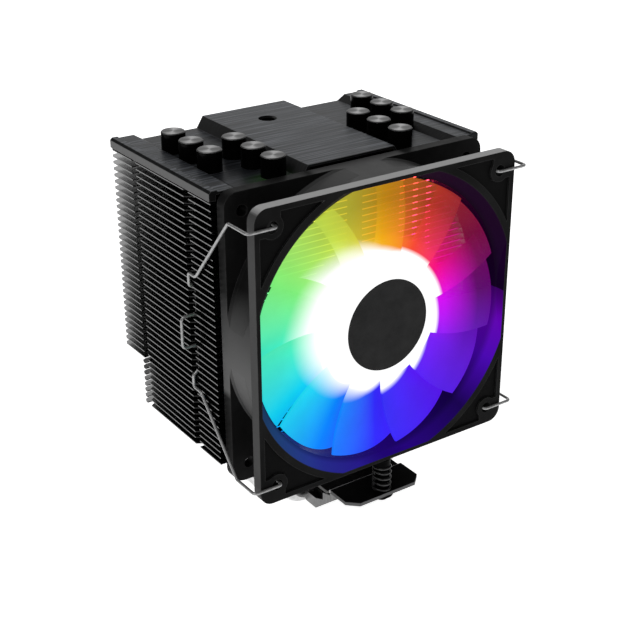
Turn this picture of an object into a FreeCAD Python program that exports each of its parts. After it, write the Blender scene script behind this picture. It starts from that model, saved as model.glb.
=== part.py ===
"""Tower cooler for a processor: base with six heat pipes, fin stack, top plate and a 120 mm lit fan.

Frame: origin at the centre of the face that sits on the processor, +Z up, fan on the -Y side,
X across the fan.  Millimetres.  The fan blows along +Y, through the fins.
"""
import FreeCAD, Part
import math
import os
import re

import Sketcher

os.makedirs("parts", exist_ok=True)
doc = FreeCAD.newDocument("tower_cooler")
Vector = FreeCAD.Vector
AXIS_Y = FreeCAD.Rotation(Vector(1, 0, 0), -90)

# ---------------------------------------------------------------- driving dimensions
DIMENSIONS = {
    # fan: a standard 120 x 120 x 25 frame with 105 mm hole spacing
    "fan_width": 120.0, "fan_depth": 25.0, "fan_front": -48.1, "fan_centre": 88.4,
    "fan_corner": 5.5, "flange": 4.75, "bore_radius": 58.0, "duct_radius": 60.55,
    "duct_narrow": 9.5, "duct_widen": 18.9, "duct_flare_front": 1.9, "duct_flare_rear": 1.1,
    "mouth_radius": 62.3, "mouth_depth": 5.0, "side_rim": 1.6, "hole_pitch": 105.0,
    "fan_hole_radius": 2.3, "boss_radius": 4.6, "pocket_rim": 2.2, "pocket_radius": 65.2,
    "pocket_depth": 0.9, "pocket_corner": 3.5, "motor_radius": 24.4, "motor_plate": 3.6,
    "strut_width": 5.0, "strut_depth": 3.0, "strut_root": 0.6, "outlet_flare": 2.5,
    "socket_reach": 3.0, "socket_wide": 4.4, "socket_deep": 7.0, "socket_tall": 4.0,
    "slot_deep": 2.6, "slot_tall": 1.8,
    # rotor: hub cup and blades
    "hub_radius": 24.4, "hub_front": 1.5, "hub_length": 15.5, "hub_wall": 1.7, "hub_round": 1.6,
    "label_radius": 18.8, "label_thick": 0.4, "blade_tip": 56.8, "blade_reach": 60.0,
    "blade_root": 2.5, "blade_front": 4.4, "blade_length": 8.6, "blade_count": 11.0,
    "blade_thick": 1.6, "root_width": 20.0, "tip_width": 42.5, "root_bow": 0.9, "tip_bow": 2.0,
    "sweep_back": 6.0, "sweep_ahead": 12.0,
    # motor
    "yoke_wall": 0.9, "magnet_wall": 2.2, "magnet_length": 9.6, "magnet_start": 1.2,
    "stator_radius": 18.2, "core_radius": 7.5, "core_start": 8.2, "core_length": 7.0,
    "shoe_thick": 2.0, "pole_half": 1.9, "pole_gap": 5.2, "coil_low": 7.8, "coil_long": 7.0,
    "coil_half": 4.0, "coil_over": 1.6, "light_gap": 0.02, "shaft_radius": 1.5,
    "shaft_length": 16.6, "bearing_radius": 3.2, "bearing_length": 11.6, "tube_radius": 4.4,
    "tube_start": 6.4, "tube_length": 15.9, "running_gap": 0.05, "clip_ring_wall": 1.3,
    "clip_ring_thick": 0.5, "board_radius": 23.4, "board_thick": 1.2, "board_gap": 0.6,
    "led_count": 9.0, "led_radius": 21.9, "led_side": 2.2, "led_thick": 0.6, "sticker_thick": 0.2,
    # fins
    "fin_count": 41.0, "short_fins": 8.0, "fin_pitch": 2.7, "fin_thick": 0.4, "fin_lowest": 35.6,
    "fin_half": 62.4, "fin_front": -22.7, "fin_rear": 56.8, "fin_rear_short": 41.9,
    "fin_round": 2.3, "groove_front": -6.5, "groove_width": 3.5, "groove_depth": 3.0,
    "groove_floor": 1.6, "groove_pair": 31.7,
    # top plate, a bent sheet
    "plate_thick": 1.0, "plate_rear": 55.2, "lip_bottom": 144.6, "hem_top": 148.5, "strip_top": 147.9,
    "valley_top": 145.6, "ridge_top": 150.3, "hem_inner": 59.6, "strip_inner": 52.3,
    "valley_outer": 48.6, "valley_inner": 23.2, "ridge_half": 20.2, "plate_hole_y": 36.6,
    "plate_hole_radius": 3.9, "lip_stand": 0.45, "hem_round": 0.9, "bend_slack": 0.35,
    "cap_clear": 0.12,
    # heat pipes and their caps
    "pipe_radius": 3.0, "pipe_bore_gap": 0.04, "pipe_centre": 2.4, "pipe_pitch_base": 6.2,
    "inner_x": 29.8, "outer_x": 45.9, "inner_first": -13.8, "outer_first": 5.5, "pipe_pitch": 14.0,
    "pipe_top": 152.2, "cap_radius": 4.85, "cap_top": 153.9, "cap_chamfer": 0.35, "cap_air": 0.1,
    "inner_elbow": 26.8, "inner_knee": 32.0, "inner_bend": 8.0,
    "outer_elbow": 30.4, "outer_knee": 25.0, "outer_bend": 11.0,
    # base block and crossbar
    "base_half_x": 19.0, "base_half_y": 24.9, "pipe_zone": 18.9, "block_top": 10.6,
    "tooth_pitch": 3.6, "tooth_low": 2.8, "tooth_first": 4.8, "tooth_rise": 1.35, "tooth_flat": 4.0,
    "bar_half": 18.4, "bar_nose": 14.0, "bar_end": 49.4, "bar_corner": 45.2, "bar_step_y": 33.6,
    "bar_thick": 1.5, "bar_step": 1.5, "bar_shift": 0.6, "screw_spacing": 90.0,
    "bar_hole_radius": 2.8, "small_x": 13.0, "small_y": 15.4, "small_head": 2.5,
    "small_head_high": 1.4, "small_shank": 4.8, "small_hole": 5.2, "small_socket": 1.0,
    "small_floor": 0.5, "small_clear": 0.25,
    # spring screws
    "head_radius": 3.4, "head_low": 24.95, "head_top": 28.4, "shank_radius": 2.5, "shank_end": 9.2,
    "thread_radius": 1.25, "thread_depth": 5.0,
    "head_edge": 0.4, "cross_half": 2.6, "cross_wide": 1.1, "cross_deep": 1.8,
    "wire_radius": 0.45, "coil_radius": 3.55, "coil_turns": 4.0, "closed_turn": 0.75,
    "coil_start": 200.0, "coil_seat": 0.04, "ring_radius": 4.8, "ring_low": 11.2, "ring_slot": 0.7, "ring_bite": 0.5,
    # fan clips, bent from spring wire
    "clip_radius": 0.6, "clip_bend": 1.6, "clip_leg_x": 51.0, "clip_left_x": 63.3,
    "clip_right_x": 65.2, "clip_groove_x": 60.4, "clip_loop_x": 67.3, "clip_front": -49.0,
    "clip_tip": -45.9, "clip_elbow_y": -36.1, "clip_arm_y": -11.0, "clip_wire_y": -5.6,
    "clip_arm_z": 24.3, "clip_hook_z": 19.2, "clip_hook_drop": 1.9, "clip_loop_z": 6.6,
    "clip_sag": 1.1,
}
sheet = doc.addObject("Spreadsheet::Sheet", "dims")
for row, (alias, number) in enumerate(DIMENSIONS.items(), start=1):
    sheet.set("A%d" % row, alias)
    sheet.set("B%d" % row, str(number))
    sheet.setAlias("B%d" % row, alias)
doc.recompute()

NODES = []
QUARTERS = [("-", "-"), ("", "-"), ("", "+"), ("-", "+")]
BAR_SCREWS = [("small_x", "small_y"), ("-small_x", "small_y"),
              ("small_x", "-small_y"), ("-small_x", "-small_y")]
PIPES = 6


def size(expression):
    """The number that an expression over the sheet's aliases works out to."""
    return float(sheet.evalExpression(str(expression)))


def cell(expression):
    """The same expression, written so that another object can use it."""
    return re.sub(r"[a-z_]+", lambda word: prefixed(word.group()), str(expression))


def prefixed(word):
    return "dims." + word if word in DIMENSIONS else word


def node(thing, label):
    """Name a finished sub-part; its label names its file."""
    thing.Label = label
    NODES.append(thing)
    return thing


# ---------------------------------------------------------------- solids from primitives
def place(thing, x, y, z, rotation=None):
    if rotation is not None:
        thing.Placement = FreeCAD.Placement(Vector(), rotation)
    for axis, expression in zip("xyz", (x, y, z)):
        thing.setExpression("Placement.Base." + axis, cell(expression))
    return thing


def box(name, x, y, z, length, width, height, rotation=None):
    thing = doc.addObject("Part::Box", name)
    for prop, expression in zip(("Length", "Width", "Height"), (length, width, height)):
        thing.setExpression(prop, cell(expression))
    return place(thing, x, y, z, rotation)


def cylinder(name, x, y, z, radius, height, rotation=None):
    thing = doc.addObject("Part::Cylinder", name)
    thing.setExpression("Radius", cell(radius))
    thing.setExpression("Height", cell(height))
    return place(thing, x, y, z, rotation)


def cone(name, x, y, z, radius_low, radius_high, height, rotation=None):
    thing = doc.addObject("Part::Cone", name)
    thing.setExpression("Radius1", cell(radius_low))
    thing.setExpression("Radius2", cell(radius_high))
    thing.setExpression("Height", cell(height))
    return place(thing, x, y, z, rotation)


def fuse(name, things):
    joined = doc.addObject("Part::MultiFuse", name)
    joined.Shapes = things
    return joined


def cut(name, base, tool):
    result = doc.addObject("Part::Cut", name)
    result.Base = base
    result.Tool = tool
    return result


def common(name, base, tool):
    result = doc.addObject("Part::Common", name)
    result.Base = base
    result.Tool = tool
    return result


def group(label, things):
    """Separate identical solids that share one node."""
    held = doc.addObject("Part::Compound", label)
    held.Links = things
    return node(held, label)


# ---------------------------------------------------------------- bodies from sketches
def sketch_on(owner, name, role, offset="0"):
    """A sketch on one of the body's own origin planes, moved along that plane's normal."""
    flat = owner.newObject("Sketcher::SketchObject", name)
    plane = [item for item in owner.Origin.OriginFeatures if item.Role == role][0]
    flat.AttachmentSupport = [(plane, "")]
    flat.MapMode = "FlatFace"
    flat.setExpression("AttachmentOffset.Base.z", cell(offset))
    return flat


def fix(flat, kind, geometry, point, expression, label):
    index = flat.addConstraint(Sketcher.Constraint(kind, geometry, point, size(expression)))
    flat.renameConstraint(index, label)
    flat.setExpression("Constraints." + label, cell(expression))


def outline(flat, corners):
    """A closed polygon whose corners are pairs of expressions."""
    first = flat.GeometryCount
    spots = [Vector(size(x), size(y), 0) for x, y in corners]
    for index, spot in enumerate(spots):
        flat.addGeometry(Part.LineSegment(spot, spots[(index + 1) % len(spots)]))
    for index, (x, y) in enumerate(corners):
        line = first + index
        after = first + (index + 1) % len(corners)
        flat.addConstraint(Sketcher.Constraint("Coincident", line, 2, after, 1))
        fix(flat, "DistanceX", line, 1, x, "x%d" % line)
        fix(flat, "DistanceY", line, 1, y, "y%d" % line)


def ring(flat, x, y, radius):
    """A circle from expressions."""
    index = flat.addGeometry(Part.Circle(Vector(size(x), size(y), 0), Vector(0, 0, 1), size(radius)))
    fix(flat, "DistanceX", index, 3, x, "cx%d" % index)
    fix(flat, "DistanceY", index, 3, y, "cy%d" % index)
    label = "radius%d" % index
    flat.renameConstraint(flat.addConstraint(Sketcher.Constraint("Radius", index, size(radius))), label)
    flat.setExpression("Constraints." + label, cell(radius))


def pad(owner, name, flat, length, symmetric=False, reversed_way=False):
    feature = owner.newObject("PartDesign::Pad", name)
    feature.Profile = flat
    feature.Reversed = reversed_way
    feature.Midplane = symmetric
    feature.setExpression("Length", cell(length))
    owner.Tip = feature
    return feature


def pocket(owner, name, flat, length, reversed_way=False, through=False):
    """Cut a sketch away and make sure that something was cut."""
    doc.recompute()
    before = owner.Shape.Volume
    feature = owner.newObject("PartDesign::Pocket", name)
    feature.Profile = flat
    feature.Reversed = reversed_way
    if through:
        feature.Type = "ThroughAll"
        feature.Midplane = True
    else:
        feature.setExpression("Length", cell(length))
    owner.Tip = feature
    doc.recompute()
    if not feature.Shape.Volume < before - 1e-3:
        raise ValueError(name + " cuts nothing")
    return feature


def disc(label, y, radius, length, bore=None):
    """A disc or tube on the fan's axis, starting at y, as a padded sketch."""
    owner = doc.addObject("PartDesign::Body", label)
    flat = sketch_on(owner, label + "_round", "XZ_Plane", "-(%s)" % y)
    ring(flat, "0", "fan_centre", radius)
    if bore is not None:
        ring(flat, "0", "fan_centre", bore)
    pad(owner, label + "_pad", flat, length, reversed_way=True)
    return node(owner, label)


def washer(label, x, y, z, radius, length, bore):
    """A flat ring whose axis runs along Z, starting at z."""
    owner = doc.addObject("PartDesign::Body", label)
    flat = sketch_on(owner, label + "_round", "XY_Plane", z)
    ring(flat, x, y, radius)
    ring(flat, x, y, bore)
    pad(owner, label + "_pad", flat, length)
    return node(owner, label)


# ---------------------------------------------------------------- swept rods
def rounded_path(points, radii):
    """Straight runs joined by tangent arcs, one radius for each inner point."""
    edges = []
    start = points[0]
    for before, corner, after, radius in zip(points, points[1:], points[2:], radii):
        into = (corner - before).normalize()
        out = (after - corner).normalize()
        turn = into.getAngle(out)
        reach = radius * math.tan(turn / 2)
        first = corner - into * reach
        last = corner + out * reach
        inward = (out - into).normalize()
        middle = corner + inward * (radius / math.cos(turn / 2) - radius)
        edges.append(Part.makeLine(start, first))
        edges.append(Part.Arc(first, middle, last).toShape())
        start = last
    edges.append(Part.makeLine(start, points[-1]))
    return Part.Wire(edges)


def rod(path, radius):
    """A round rod along a path, checked against section times length."""
    start = path.Edges[0]
    heading = start.tangentAt(start.FirstParameter)
    profile = Part.Wire([Part.makeCircle(radius, start.valueAt(start.FirstParameter), heading)])
    solid = path.makePipeShell([profile], True, False)
    expected = math.pi * radius ** 2 * path.Length
    if abs(solid.Volume / expected - 1) > 0.02:
        raise ValueError("a swept rod has the wrong volume")
    return solid


def shaped(label, shape):
    """A sub-part whose shape comes from Part's own functions."""
    thing = doc.addObject("Part::Feature", label)
    thing.Shape = shape
    thing.Placement = FreeCAD.Placement()
    return node(thing, label)


# ---------------------------------------------------------------- base block
def base_block():
    """Aluminium block: six pipe grooves underneath, sawtooth ledges at its two ends."""
    block = doc.addObject("PartDesign::Body", "base_block")
    middle = sketch_on(block, "block_section", "XZ_Plane")
    outline(middle, [("-base_half_x", "0"), ("base_half_x", "0"),
                     ("base_half_x", "block_top"), ("-base_half_x", "block_top")])
    pad(block, "block_pad", middle, "2*pipe_zone", symmetric=True)
    ledge = sketch_on(block, "ledge_section", "XZ_Plane")
    teeth = int(size("(base_half_x-tooth_flat)/tooth_pitch"))
    left = []
    for tooth in range(teeth):
        edge = "-base_half_x+%d*tooth_pitch" % tooth
        left.append((edge, "tooth_first+%d*tooth_rise" % tooth))
        left.append((edge + "+tooth_pitch", "tooth_low+%d*tooth_rise/2" % tooth))
    right = [("-(%s)" % x, z) for x, z in reversed(left)]
    outline(ledge, [("-base_half_x", "0")] + left + right + [("base_half_x", "0")])
    pad(block, "ledge_pad", ledge, "2*base_half_y", symmetric=True)
    grooves = sketch_on(block, "pipe_grooves", "YZ_Plane")
    for pipe in range(PIPES):
        ring(grooves, "(%d-2.5)*pipe_pitch_base" % pipe, "pipe_centre", "pipe_radius+pipe_bore_gap")
    pocket(block, "pipe_groove_cut", grooves, "0", through=True)
    holes = sketch_on(block, "bar_screw_holes", "XY_Plane", "block_top")
    for x, y in BAR_SCREWS:
        ring(holes, x, y, "thread_radius+running_gap")
    pocket(block, "bar_screw_hole_cut", holes, "small_hole-bar_thick")
    return node(block, "base_block")


# ---------------------------------------------------------------- crossbar and its screws
def crossbar():
    """Steel bar over the block: chamfered ends, a step down to the block, two screw holes."""
    bar = doc.addObject("PartDesign::Body", "crossbar")
    side = sketch_on(bar, "bar_side", "YZ_Plane")
    low, high = "block_top", "block_top+bar_step"
    slope = "bar_step_y-bar_step"
    right = [(slope, low), ("bar_step_y", high), ("bar_end", high), ("bar_end", high + "+bar_thick"),
             ("bar_step_y+bar_shift", high + "+bar_thick"), (slope + "+bar_shift", low + "+bar_thick")]
    left = [("-(%s)" % y, z) for y, z in reversed(right)]
    outline(side, right + left)
    pad(bar, "bar_pad", side, "2*bar_half", symmetric=True)
    for name, way in (("front", "-"), ("rear", "")):
        for side_name, hand in (("left", "-"), ("right", "")):
            corner = sketch_on(bar, "%s_%s_chamfer" % (name, side_name), "XY_Plane")
            outline(corner, [(hand + "bar_nose", way + "bar_end"), (hand + "bar_half", way + "bar_corner"),
                             (hand + "(bar_half+1)", way + "bar_corner"),
                             (hand + "(bar_half+1)", way + "(bar_end+1)"),
                             (hand + "bar_nose", way + "(bar_end+1)")])
            pocket(bar, "%s_%s_chamfer_cut" % (name, side_name), corner, "0", through=True)
    holes = sketch_on(bar, "bar_holes", "XY_Plane")
    for way in ("-", ""):
        ring(holes, "0", way + "screw_spacing/2", "bar_hole_radius")
    for x, y in BAR_SCREWS:
        ring(holes, x, y, "thread_radius+small_clear")
    pocket(bar, "bar_hole_cut", holes, "0", through=True)
    return node(bar, "crossbar")


def crossbar_screws():
    """Four pan-head screws that hold the bar down on the block."""
    screws = []
    for number, (x, y) in enumerate(BAR_SCREWS):
        seat = "block_top+bar_thick"
        head = cylinder("bar_screw_head_%d" % number, x, y, seat, "small_head", "small_head_high")
        shank = cylinder("bar_screw_shank_%d" % number, x, y, seat + "-small_shank",
                         "thread_radius", "small_shank")
        socket = cylinder("bar_screw_socket_%d" % number, x, y, seat + "+small_floor",
                          "small_socket", "small_head_high")
        blank = fuse("bar_screw_blank_%d" % number, [head, shank])
        screws.append(cut("bar_screw_%d" % number, blank, socket))
    return group("crossbar_screws", screws)


# ---------------------------------------------------------------- spring screws
def spring_screw(end, way):
    """One sprung screw with its coil spring and retaining ring, at one end of the bar."""
    y = way + "screw_spacing/2"
    edge = cone(end + "_head_edge", "0", y, "head_top-head_edge", "head_radius",
                "head_radius-head_edge", "head_edge")
    drum = cylinder(end + "_head_drum", "0", y, "head_low", "head_radius",
                    "head_top-head_low-head_edge")
    shank = cylinder(end + "_shank", "0", y, "shank_end", "shank_radius", "head_low-shank_end")
    blank = fuse(end + "_screw_blank", [edge, drum, shank])
    cross = [box(end + "_cross_x", "-cross_half", y + "-cross_wide/2", "head_top-cross_deep",
                 "2*cross_half", "cross_wide", "2*cross_deep"),
             box(end + "_cross_y", "-cross_wide/2", y + "-cross_half", "head_top-cross_deep",
                 "cross_wide", "2*cross_half", "2*cross_deep")]
    thread = cylinder(end + "_thread", "0", y, "shank_end-1", "thread_radius", "thread_depth+1")
    neck = cut(end + "_neck",
               cylinder(end + "_neck_outer", "0", y, "ring_low", "shank_radius+1", "ring_slot"),
               cylinder(end + "_neck_inner", "0", y, "ring_low-1", "shank_radius-ring_bite",
                        "ring_slot+2"))
    tools = fuse(end + "_screw_tools", cross + [thread, neck])
    node(cut(end + "_screw_cut", blank, tools), end + "_spring_screw")
    washer(end + "_retaining_ring", "0", y, "ring_low+light_gap", "ring_radius",
           "ring_slot-2*light_gap", "shank_radius-ring_bite+2*light_gap")
    coil_spring(end, size(y))


def coil_spring(end, centre_y):
    """Left-handed compression spring with closed ends, between the bar and the screw's head."""
    wire = size("wire_radius")
    low = size("block_top+bar_step+bar_thick+wire_radius+coil_seat")
    high = size("head_low-wire_radius-coil_seat")
    turns = size("coil_turns")
    closed = size("closed_turn")
    coil = size("coil_radius")
    steps = 8
    spots = []
    for step in range(int((turns + 2 * closed) * steps) + 1):
        along = step / steps
        climb = min(max(along - closed, 0), turns) / turns
        angle = math.radians(size("coil_start") - 360 * along)
        spots.append(Vector(coil * math.cos(angle), centre_y + coil * math.sin(angle),
                            low + (high - low) * climb))
    curve = Part.BSplineCurve()
    curve.interpolate(spots)
    path = Part.Wire([curve.toShape()])
    heading = path.Edges[0].tangentAt(path.Edges[0].FirstParameter)
    profile = Part.Wire([Part.makeCircle(wire, spots[0], heading)])
    shaped(end + "_spring", path.makePipeShell([profile], True, True))


# ---------------------------------------------------------------- heat pipes and caps
def pipe_rows():
    """For each pipe: its place across the base, its upright's y, and which row it stands in."""
    rows = []
    for pipe in range(PIPES):
        base_y = size("(%d-2.5)*pipe_pitch_base" % pipe)
        row_name = ("inner", "outer")[pipe % 2]
        rows.append((base_y, size("%s_first+%d*pipe_pitch" % (row_name, pipe // 2)), row_name))
    return rows


def heat_pipes():
    """Six bent copper pipes, flat underneath where they lie in the block."""
    for number, (base_y, upright_y, row_name) in enumerate(pipe_rows(), start=1):
        upright_x = size(row_name + "_x")
        right = [Vector(size(row_name + "_elbow"), base_y, size("pipe_centre")),
                 Vector(upright_x, upright_y, size(row_name + "_knee")),
                 Vector(upright_x, upright_y, size("pipe_top"))]
        left = [Vector(-spot.x, spot.y, spot.z) for spot in reversed(right)]
        pipe = rod(rounded_path(left + right, [size(row_name + "_bend")] * 4), size("pipe_radius"))
        underside = Part.makeBox(200, 20, 10, Vector(-100, base_y - 10, -10))
        shaped("heat_pipe_%d" % number, pipe.cut(underside))


def pipe_caps():
    """Twelve turned caps over the pipe ends, standing on the top fin."""
    seat = "fin_lowest+(fin_count-1)*fin_pitch+fin_thick/2"
    names = ("front", "middle", "rear")
    for side_name, hand in (("left", "-"), ("right", "")):
        for row_name in ("outer", "inner"):
            for step, name in enumerate(names):
                label = "cap_%s_%s_%s" % (side_name, row_name, name)
                x = "%s%s_x" % (hand, row_name)
                y = "%s_first+%d*pipe_pitch" % (row_name, step)
                barrel = cylinder(label + "_barrel", x, y, seat, "cap_radius",
                                  "cap_top-cap_chamfer-(%s)" % seat)
                edge = cone(label + "_edge", x, y, "cap_top-cap_chamfer", "cap_radius",
                            "cap_radius-cap_chamfer", "cap_chamfer")
                bore = cylinder(label + "_bore", x, y, seat + "-1", "pipe_radius+pipe_bore_gap",
                                "pipe_top+cap_air+1-(%s)" % seat)
                node(cut(label + "_turned", fuse(label + "_blank", [barrel, edge]), bore), label)


# ---------------------------------------------------------------- fins and top plate
def fin_corners(rear):
    """Right half of a fin's outline: a clip groove towards each end, the rear corner rounded."""
    front_groove = [("fin_half", "groove_front"), ("fin_half-groove_depth", "groove_front"),
                    ("fin_half-groove_depth", "groove_front+groove_floor"),
                    ("fin_half", "groove_front+groove_width")]
    rear_groove = [(x, "groove_pair-(%s)" % y) for x, y in reversed(front_groove)]
    rear_corner = [("fin_half", rear + "-fin_round"),
                   ("fin_half-0.29*fin_round", rear + "-0.29*fin_round"),
                   ("fin_half-fin_round", rear)]
    return [("fin_half", "fin_front")] + front_groove + rear_groove + rear_corner


def fin_stack(label, first, count, rear):
    """A run of separate fins, each its own solid, pierced by the twelve pipe uprights."""
    owner = doc.addObject("PartDesign::Body", label + "_pattern")
    flat = sketch_on(owner, label + "_outline", "XY_Plane",
                     "fin_lowest+%d*fin_pitch-fin_thick/2" % first)
    right = fin_corners(rear)
    left = [("-(%s)" % x, y) for x, y in reversed(right)]
    outline(flat, right + left)
    for row_name in ("outer", "inner"):
        for hand in ("-", ""):
            for step in range(3):
                ring(flat, "%s%s_x" % (hand, row_name), "%s_first+%d*pipe_pitch" % (row_name, step),
                     "pipe_radius+pipe_bore_gap")
    pad(owner, label + "_pad", flat, "fin_thick")
    doc.recompute()
    pitch = size("fin_pitch")
    fins = [owner.Shape.translated(Vector(0, 0, step * pitch)) for step in range(count)]
    return shaped(label, Part.Compound(fins))


def top_plate():
    """Brushed sheet bent across X: hemmed side lips, two valleys for the caps, a raised ridge."""
    plate = doc.addObject("PartDesign::Body", "top_plate")
    flat = sketch_on(plate, "plate_profile", "XZ_Plane", "-fin_front")
    outside = "fin_half+lip_stand"
    upper = [(outside, "lip_bottom"), (outside, "hem_top-hem_round"),
             (outside + "-hem_round", "hem_top"), ("hem_inner", "hem_top"),
             ("hem_inner-(hem_top-strip_top)", "strip_top"),
             ("strip_inner", "strip_top"), ("valley_outer", "valley_top"),
             ("valley_inner", "valley_top"), ("ridge_half", "ridge_top")]
    under = [("ridge_half-2*bend_slack", "ridge_top-plate_thick"),
             ("valley_inner-2*bend_slack", "valley_top-plate_thick"),
             ("valley_outer+bend_slack", "valley_top-plate_thick"),
             ("strip_inner+bend_slack", "strip_top-plate_thick"),
             ("hem_inner+bend_slack", "strip_top-plate_thick"),
             ("hem_inner+bend_slack", "lip_bottom")]
    left_upper = [("-(%s)" % x, z) for x, z in reversed(upper)]
    left_under = [("-(%s)" % x, z) for x, z in reversed(under)]
    outline(flat, upper + left_upper + left_under + under)
    pad(plate, "plate_pad", flat, "plate_rear-fin_front", reversed_way=True)
    holes = sketch_on(plate, "plate_holes", "XY_Plane")
    for row_name in ("outer", "inner"):
        for hand in ("-", ""):
            for step in range(3):
                ring(holes, "%s%s_x" % (hand, row_name), "%s_first+%d*pipe_pitch" % (row_name, step),
                     "cap_radius+cap_clear")
    ring(holes, "0", "plate_hole_y", "plate_hole_radius")
    pocket(plate, "plate_hole_cut", holes, "0", through=True)
    return node(plate, "top_plate")


# ---------------------------------------------------------------- fan frame
def square_block(name, half, start, depth, corner=None):
    """A square prism about the fan's axis, its corners rounded where a radius is given."""
    if corner is None:
        return box(name, "-(%s)" % half, start, "fan_centre-(%s)" % half,
                   "2*(%s)" % half, depth, "2*(%s)" % half)
    inner = "(%s)-(%s)" % (half, corner)
    pieces = [box(name + "_wide", "-(%s)" % half, start, "fan_centre-(%s)" % inner,
                  "2*(%s)" % half, depth, "2*(%s)" % inner),
              box(name + "_tall", "-(%s)" % inner, start, "fan_centre-(%s)" % half,
                  "2*(%s)" % inner, depth, "2*(%s)" % half)]
    for number, (hand, way) in enumerate(QUARTERS):
        pieces.append(cylinder("%s_corner_%d" % (name, number), "%s(%s)" % (hand, inner), start,
                               "fan_centre%s(%s)" % (way, inner), corner, depth, AXIS_Y))
    return fuse(name, pieces)


def fan_round(name, start, radius, depth):
    return cylinder(name, "0", start, "fan_centre", radius, depth, AXIS_Y)


def fan_frame():
    """Two flanges on a waisted duct, a flared mouth, corner pockets, motor plate and struts."""
    half = "fan_width/2"
    rear = "fan_front+fan_depth"
    rear_flange = rear + "-flange"
    mouth = fuse("mouth", [
        cone("mouth_cone", "0", "fan_front", "fan_centre", "mouth_radius", "bore_radius",
             "mouth_depth", AXIS_Y),
        cone("outlet_cone", "0", rear + "-outlet_flare", "fan_centre", "bore_radius",
             "bore_radius+outlet_flare", "outlet_flare", AXIS_Y),
        fan_round("bore", "fan_front-1", "bore_radius", "fan_depth+2")])
    duct = fuse("duct_waisted", [
        fan_round("duct_waist", "fan_front+1", "duct_radius", "fan_depth-2"),
        cone("duct_front", "0", "fan_front+flange-1", "fan_centre", "duct_radius+duct_flare_front",
             "duct_radius", "duct_narrow-flange+1", AXIS_Y),
        cone("duct_rear", "0", "fan_front+duct_widen", "fan_centre", "duct_radius",
             "duct_radius+duct_flare_rear", "fan_depth-flange+1-duct_widen", AXIS_Y)])
    shell = fuse("frame_shell", [
        square_block("front_flange", half, "fan_front", "flange", "fan_corner"),
        square_block("rear_flange", half, rear_flange, "flange", "fan_corner"),
        common("duct", duct, box("duct_limit", "-fan_width/2", "fan_front+1", "fan_centre-fan_width/2",
                                 "fan_width", "fan_depth-2", "fan_width"))])
    opened = cut("frame_opened", shell, mouth)
    rims = []
    for name, start in (("front", "fan_front"), ("rear", rear_flange)):
        outer = square_block(name + "_rim_outer", half, start, "flange", "fan_corner")
        inner = square_block(name + "_rim_inner", half + "-side_rim", start + "-1", "flange+2")
        rims.append(cut(name + "_rim", outer, inner))
    plate = fan_round("motor_plate", rear + "-motor_plate", "motor_radius", "motor_plate")
    reach = "bore_radius+strut_root"
    struts = [box("strut_across", "-(%s)" % reach, rear + "-strut_depth",
                  "fan_centre-strut_width/2", "2*(%s)" % reach, "strut_depth", "strut_width"),
              box("strut_upright", "-strut_width/2", rear + "-strut_depth",
                  "fan_centre-(%s)" % reach, "strut_width", "strut_depth", "2*(%s)" % reach)]
    socket = box("cable_socket", "bore_radius-socket_reach", rear + "-socket_deep",
                 "fan_centre+strut_width/2-0.5", "socket_wide", "socket_deep", "socket_tall")
    full = fuse("frame_full", [opened] + rims + [plate] + struts + [socket])
    slot_y = rear + "-(socket_deep+strut_depth+slot_deep)/2+light_gap"
    tools = [fan_round("tube_seat", rear + "-motor_plate-1", "tube_radius", "motor_plate-0.2"),
             box("cable_slot", "bore_radius-socket_reach-1", slot_y,
                 "fan_centre+strut_width/2+(socket_tall-slot_tall)/2", "socket_wide+1",
                 "slot_deep", "slot_tall")]
    for number, (x, z) in enumerate(corner_spots()):
        tools.append(cylinder("corner_hole_%d" % number, x, "fan_front-1", z, "fan_hole_radius",
                              "fan_depth+2", AXIS_Y))
    return node(cut("frame_cut", full, fuse("frame_tools", tools + corner_pockets())), "fan_frame")


def corner_spots():
    """The x and z of the frame's four corner holes."""
    return [(hand + "hole_pitch/2", "fan_centre%shole_pitch/2" % way) for hand, way in QUARTERS]


def corner_pockets():
    """Shallow corner recesses in the front face, between the mouth's ring, the rim and the bosses."""
    recess = square_block("pocket_square", "fan_width/2-pocket_rim", "fan_front-1", "pocket_depth+1")
    spared = [fan_round("pocket_ring", "fan_front-2", "pocket_radius", "pocket_depth+3")]
    for number, (x, z) in enumerate(corner_spots()):
        spared.append(cylinder("pocket_boss_%d" % number, x, "fan_front-2", z, "boss_radius",
                               "pocket_depth+3", AXIS_Y))
    for number, (hand, way) in enumerate(QUARTERS):
        near = "(hole_pitch/2-pocket_corner)"
        low_x = near if hand == "" else "-%s-10" % near
        low_z = "fan_centre+" + near if way == "+" else "fan_centre-%s-10" % near
        spared.append(box("pocket_corner_%d" % number, low_x, "fan_front-2", low_z, "10",
                          "pocket_depth+3", "10"))
    return [cut("pockets", recess, fuse("pocket_spared", spared))]


# ---------------------------------------------------------------- rotor
def between(first, last, share):
    return size("(%s)*(1-%s)+(%s)*%s" % (first, share, last, share))


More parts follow.
